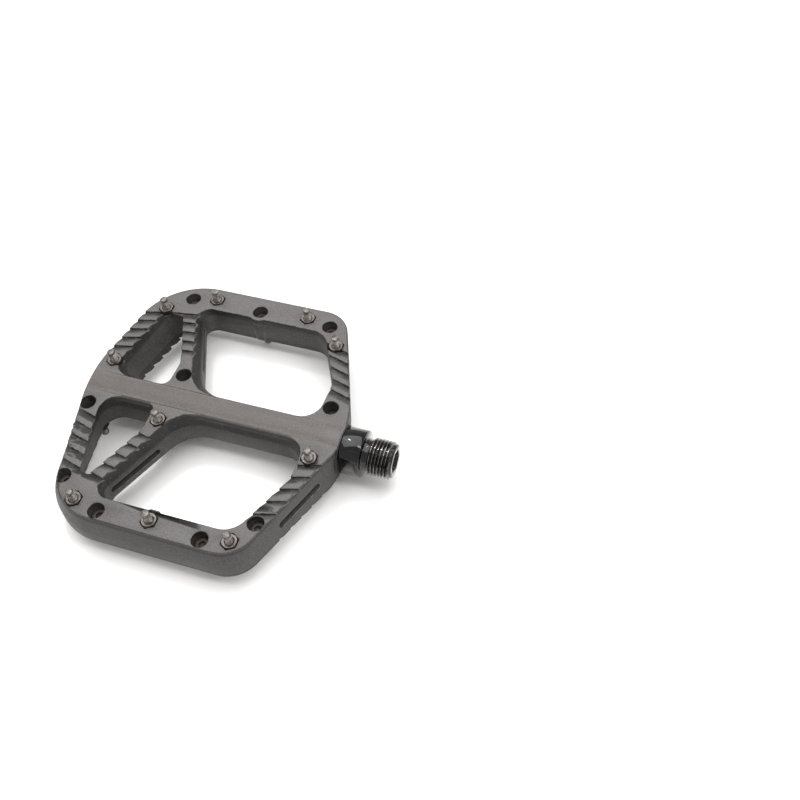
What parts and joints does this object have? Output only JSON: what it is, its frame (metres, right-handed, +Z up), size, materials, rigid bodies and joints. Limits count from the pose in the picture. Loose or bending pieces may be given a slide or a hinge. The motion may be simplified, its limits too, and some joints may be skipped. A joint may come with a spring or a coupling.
{
  "type": "flat pedal",
  "caption": "Bicycle flat pedal: moulded plastic platform with studs turning on a steel threaded spindle, left-hand side.",
  "frame": {"origin": "on the spindle's axis, in the collar face that seats against the crank arm", "axes": "+X along the spindle away from the crank, +Z up, +Y towards the rear of the bicycle"},
  "size_m": [0.1261, 0.1148, 0.026],
  "materials": {
    "platform_plastic": "matt, scuffed glass-filled nylon",
    "spindle_steel": "black oxide, worn on the thread crests",
    "pin_steel": "worn, slightly rusted steel",
    "bearing_steel": "ground and polished",
    "small_steel": "machined",
    "seal_rubber": "matt",
    "bushing_plastic": "smooth bearing plastic",
    "cage_brass": "plain",
    "cap_plastic": "satin"
  },
  "bodies": {
    "spindle_body": {"spindle": "spindle_steel", "bearing_1_inner_race": "bearing_steel", "bearing_2_inner_race": "bearing_steel", "bearing_spacer": "small_steel", "end_washer": "small_steel", "lock_nut": "small_steel"},
    "platform": {"platform_body": "platform_plastic", "inboard_seal": "seal_rubber", "inboard_bushing": "bushing_plastic", "end_cap": "cap_plastic", "end_cap_ring": "seal_rubber", "pins_upper": "pin_steel", "nuts_upper": "pin_steel", "pins_lower": "pin_steel", "nuts_lower": "pin_steel", "bearing_1_outer_race": "bearing_steel", "bearing_1_inboard_shield": "seal_rubber", "bearing_1_outboard_shield": "seal_rubber", "bearing_2_outer_race": "bearing_steel", "bearing_2_inboard_shield": "seal_rubber", "bearing_2_outboard_shield": "seal_rubber"},
    "cage_1": {"bearing_1_cage": "cage_brass", "bearing_1_balls": "bearing_steel"},
    "cage_2": {"bearing_2_cage": "cage_brass", "bearing_2_balls": "bearing_steel"}
  },
  "joints": [
    {"name": "platform_spin", "type": "hinge", "parent": "spindle_body", "child": "platform", "pos_m": [0.05, 0, 0], "axis": [1, 0, 0], "continuous": true},
    {"name": "cage_1_spin", "type": "hinge", "parent": "spindle_body", "child": "cage_1", "pos_m": [0.08375, 0, 0], "axis": [1, 0, 0], "continuous": true},
    {"name": "cage_2_spin", "type": "hinge", "parent": "spindle_body", "child": "cage_2", "pos_m": [0.09375, 0, 0], "axis": [1, 0, 0], "continuous": true}
  ],
  "couplings": [
    {"joint": "cage_1_spin", "follows": "platform_spin", "ratio": 0.56},
    {"joint": "cage_2_spin", "follows": "platform_spin", "ratio": 0.56}
  ]
}
